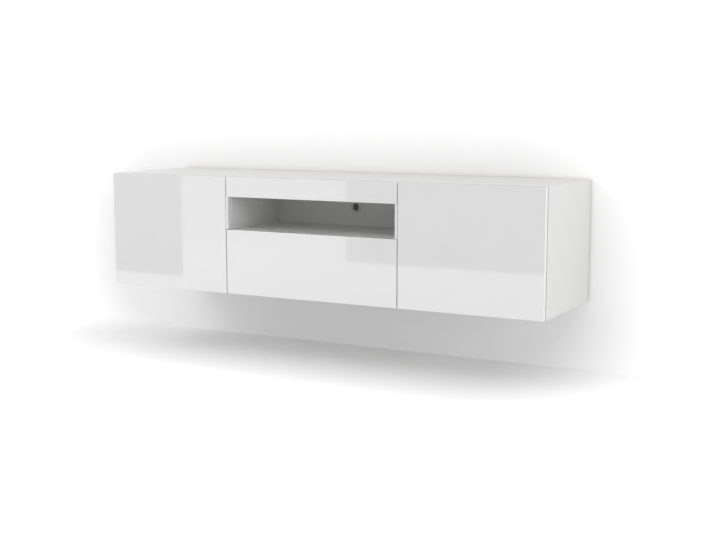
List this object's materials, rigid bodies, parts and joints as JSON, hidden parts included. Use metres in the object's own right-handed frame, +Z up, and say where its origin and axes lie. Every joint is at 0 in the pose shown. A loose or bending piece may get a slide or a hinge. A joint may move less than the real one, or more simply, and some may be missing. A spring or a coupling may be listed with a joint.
{
  "type": "media console",
  "caption": "Wall-hung white media console with push-open doors at both ends, an open niche with a cable hole and a drawer below it.",
  "frame": {"origin": "on the wall plane, in the middle of the hanging rail's back face, 60 mm below the console's top surface", "axes": "+X along the wall, to the right as seen from the front; +Y into the wall; +Z up"},
  "size_m": [1.5, 0.4, 0.37],
  "materials": {
    "white_lacquer": "gloss",
    "white_melamine": "satin",
    "white_hardboard": "satin",
    "beech": "matte",
    "zinc_plated_steel": "satin",
    "nickel_plated_steel": "polished",
    "white_plastic": "satin",
    "grey_plastic": "satin"
  },
  "bodies": {
    "carcass": {"back_panel": "white_hardboard", "bottom_panel": "white_melamine", "cable_grommet": "white_plastic", "cam_bolts": "zinc_plated_steel", "cam_locks": "nickel_plated_steel", "carcass_screws": "zinc_plated_steel", "dowels": "beech", "drawer_latch_housings": "grey_plastic", "fascia_rail": "white_melamine", "hanger_adjusters": "zinc_plated_steel", "hanger_hooks": "zinc_plated_steel", "hinge_trim_screws": "nickel_plated_steel", "left_hanger_housing": "white_plastic", "left_hinge_arms": "nickel_plated_steel", "left_hinge_plates": "nickel_plated_steel", "left_latch_housing": "grey_plastic", "left_partition": "white_melamine", "left_runner_outer": "zinc_plated_steel", "left_shelf": "white_melamine", "left_side_panel": "white_melamine", "niche_back": "white_hardboard", "niche_fascia": "white_lacquer", "niche_floor": "white_melamine", "niche_strips": "white_lacquer", "right_hanger_housing": "white_plastic", "right_hinge_arms": "nickel_plated_steel", "right_hinge_plates": "nickel_plated_steel", "right_latch_housing": "grey_plastic", "right_partition": "white_melamine", "right_runner_outer": "zinc_plated_steel", "right_shelf": "white_melamine", "right_side_panel": "white_melamine", "shelf_pins": "zinc_plated_steel", "top_panel": "white_melamine", "wall_rail": "zinc_plated_steel"},
    "left_door": {"left_door_panel": "white_lacquer", "left_hinge_cups": "nickel_plated_steel", "left_hinge_pins": "nickel_plated_steel", "left_door_screws": "zinc_plated_steel", "left_strike_disc": "zinc_plated_steel"},
    "right_door": {"right_door_panel": "white_lacquer", "right_hinge_cups": "nickel_plated_steel", "right_hinge_pins": "nickel_plated_steel", "right_door_screws": "zinc_plated_steel", "right_strike_disc": "zinc_plated_steel"},
    "drawer": {"drawer_front": "white_lacquer", "drawer_box_front": "white_melamine", "drawer_left_side": "white_melamine", "drawer_right_side": "white_melamine", "drawer_back": "white_melamine", "drawer_bottom": "white_hardboard", "drawer_screws": "zinc_plated_steel", "drawer_strike_discs": "zinc_plated_steel", "left_runner_inner": "zinc_plated_steel", "right_runner_inner": "zinc_plated_steel"},
    "runner_middles": {"left_runner_middle": "zinc_plated_steel", "right_runner_middle": "zinc_plated_steel"},
    "left_plunger": {"left_latch_plunger": "grey_plastic"},
    "right_plunger": {"right_latch_plunger": "grey_plastic"},
    "drawer_plungers": {"drawer_latch_plungers": "grey_plastic"}
  },
  "joints": [
    {"name": "left_door_hinge", "type": "hinge", "parent": "carcass", "child": "left_door", "pos_m": [-0.7422, -0.3922, -0.125], "axis": [0, 0, -1], "range_deg": [0, 95]},
    {"name": "right_door_hinge", "type": "hinge", "parent": "carcass", "child": "right_door", "pos_m": [0.7422, -0.3922, -0.125], "axis": [0, 0, 1], "range_deg": [0, 95]},
    {"name": "drawer_slide", "type": "slide", "parent": "carcass", "child": "drawer", "axis": [0, -1, 0], "range_m": [0, 0.33]},
    {"name": "runner_middle_slide", "type": "slide", "parent": "carcass", "child": "runner_middles", "axis": [0, -1, 0], "range_m": [0, 0.165]},
    {"name": "left_plunger_slide", "type": "slide", "parent": "carcass", "child": "left_plunger", "axis": [0, -1, 0], "range_m": [0, 0.02]},
    {"name": "right_plunger_slide", "type": "slide", "parent": "carcass", "child": "right_plunger", "axis": [0, -1, 0], "range_m": [0, 0.02]},
    {"name": "drawer_plunger_slide", "type": "slide", "parent": "carcass", "child": "drawer_plungers", "axis": [0, -1, 0], "range_m": [0, 0.02]}
  ],
  "couplings": [
    {"joint": "runner_middle_slide", "follows": "drawer_slide", "ratio": 0.5},
    {"joint": "left_plunger_slide", "follows": "left_door_hinge", "m_per_rad": 0.01206},
    {"joint": "right_plunger_slide", "follows": "right_door_hinge", "m_per_rad": 0.01206},
    {"joint": "drawer_plunger_slide", "follows": "drawer_slide", "ratio": 0.0606}
  ]
}
